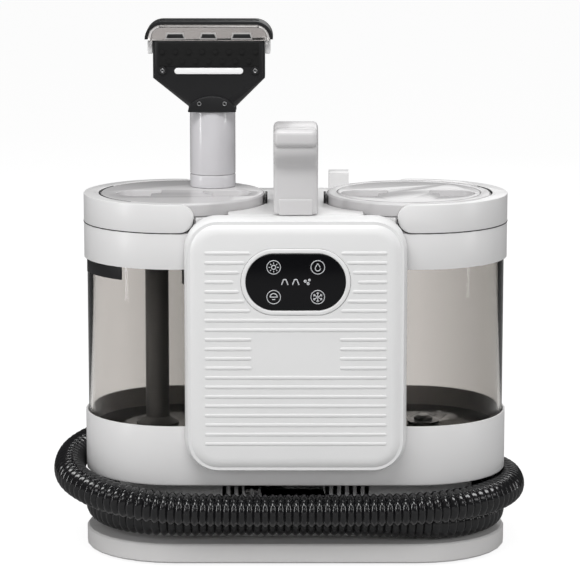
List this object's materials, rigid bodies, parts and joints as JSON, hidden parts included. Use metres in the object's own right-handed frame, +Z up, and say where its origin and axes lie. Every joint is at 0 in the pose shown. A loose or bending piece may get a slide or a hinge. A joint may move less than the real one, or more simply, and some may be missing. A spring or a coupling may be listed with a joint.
{
  "type": "carpet cleaner machine",
  "caption": "Spot carpet cleaner with two smoked lift-out tanks, ribbed front panel, display, top handle, upholstery nozzle on a wand and a hose wound round the base.",
  "frame": {"origin": "centre of the underside, on the surface the feet stand on", "axes": "+X to the right seen from the front, -Y towards the user, +Z up"},
  "size_m": [0.4035, 0.2108, 0.4497],
  "materials": {
    "body_white": "white moulded ABS, satin",
    "panel_white": "white moulded ABS, soft satin",
    "plinth_white": "white moulded ABS, satin",
    "lid_white": "pale grey-white ABS, fine matt grain",
    "handle_white": "pale grey-white ABS, satin",
    "wand_white": "pale grey-white tube, gloss",
    "smoked_clear": "smoked clear plastic",
    "lip_clear": "clear grey plastic",
    "nozzle_black": "black moulded plastic, satin",
    "moulded_black": "black moulded plastic",
    "rubber_black": "black rubber, matt",
    "display_black": null,
    "light_bar_white": "white light bar",
    "board_green": "circuit board",
    "float_orange": "float plastic",
    "bare_steel": "bare steel",
    "hose_black": "black ribbed hose, gloss"
  },
  "bodies": {
    "root": {"foot_1": "rubber_black", "foot_2": "rubber_black", "foot_3": "rubber_black", "foot_4": "rubber_black", "plinth": "plinth_white", "hose_core": "body_white", "lower_housing": "body_white", "tower_housing": "body_white", "rear_cover": "body_white", "mains_inlet": "moulded_black", "deck": "body_white", "carry_handle": "handle_white", "front_panel": "panel_white", "panel_carrier": "moulded_black", "display_bezel": "panel_white", "display_window": "display_black", "control_board": "board_green", "vacuum_motor": "bare_steel", "motor_mount": "rubber_black", "fan_shroud": "moulded_black", "water_pump": "moulded_black", "hose": "hose_black", "hose_cuff": "moulded_black", "hose_port": "moulded_black", "hose_clip": "body_white"},
    "dirty_tank": {"dirty_tank_cup": "smoked_clear", "dirty_tank_collar": "body_white", "dirty_standpipe": "moulded_black", "dirty_pour_spout": "moulded_black"},
    "dirty_cover": {"dirty_lid": "lid_white", "dirty_lid_seal": "rubber_black", "float_guide": "moulded_black", "wand_dock": "wand_white", "dirty_handle_pin_front": "body_white", "dirty_handle_pin_rear": "body_white"},
    "dirty_bail": {"dirty_handle": "body_white"},
    "float": {"shutoff_float": "float_orange"},
    "wand": {"wand_tube": "wand_white", "nozzle_body": "nozzle_black", "nozzle_window": "lip_clear", "nozzle_strip": "nozzle_black", "nozzle_light_strip": "light_bar_white", "bristle_pad": "rubber_black", "nozzle_clip_left": "body_white", "nozzle_clip_right": "body_white", "nozzle_screw_left": "bare_steel", "nozzle_screw_right": "bare_steel"},
    "clean_tank": {"clean_tank_cup": "smoked_clear", "clean_tank_collar": "body_white", "clean_valve_seat": "bare_steel"},
    "valve": {"clean_valve_plunger": "bare_steel"},
    "clean_cover": {"clean_lid": "lid_white", "clean_lid_seal": "rubber_black", "clean_handle_pin_front": "body_white", "clean_handle_pin_rear": "body_white"},
    "clean_bail": {"clean_handle": "body_white"},
    "cap": {"fill_cap": "lid_white"},
    "rotor": {"motor_shaft": "bare_steel", "impeller": "moulded_black"}
  },
  "joints": [
    {"name": "dirty_tank_lift", "type": "slide", "parent": "root", "child": "dirty_tank", "axis": [0, 0, 1], "range_m": [0, 0.2]},
    {"name": "dirty_lid_lift", "type": "slide", "parent": "dirty_tank", "child": "dirty_cover", "axis": [0, 0, 1], "range_m": [0, 0.04]},
    {"name": "dirty_handle_swing", "type": "hinge", "parent": "dirty_cover", "child": "dirty_bail", "pos_m": [-0.096, 0, 0.29515], "axis": [0, 1, 0], "range_deg": [0, 80]},
    {"name": "float_rise", "type": "slide", "parent": "dirty_cover", "child": "float", "axis": [0, 0, 1], "range_m": [0, 0.02]},
    {"name": "wand_lift", "type": "slide", "parent": "dirty_cover", "child": "wand", "axis": [0, 0, 1], "range_m": [0, 0.06]},
    {"name": "clean_tank_lift", "type": "slide", "parent": "root", "child": "clean_tank", "axis": [0, 0, 1], "range_m": [0, 0.2]},
    {"name": "clean_valve_open", "type": "slide", "parent": "clean_tank", "child": "valve", "axis": [0, 0, 1], "range_m": [0, 0.004]},
    {"name": "clean_lid_lift", "type": "slide", "parent": "clean_tank", "child": "clean_cover", "axis": [0, 0, 1], "range_m": [0, 0.04]},
    {"name": "clean_handle_swing", "type": "hinge", "parent": "clean_cover", "child": "clean_bail", "pos_m": [0.096, 0, 0.29515], "axis": [0, -1, 0], "range_deg": [0, 90]},
    {"name": "fill_cap_twist", "type": "hinge", "parent": "clean_cover", "child": "cap", "pos_m": [0.096, 0, 0.302], "axis": [0, 0, 1], "range_deg": [0, 60]},
    {"name": "impeller_spin", "type": "hinge", "parent": "root", "child": "rotor", "pos_m": [0, 0, 0.177], "axis": [0, 0, 1], "continuous": true}
  ]
}
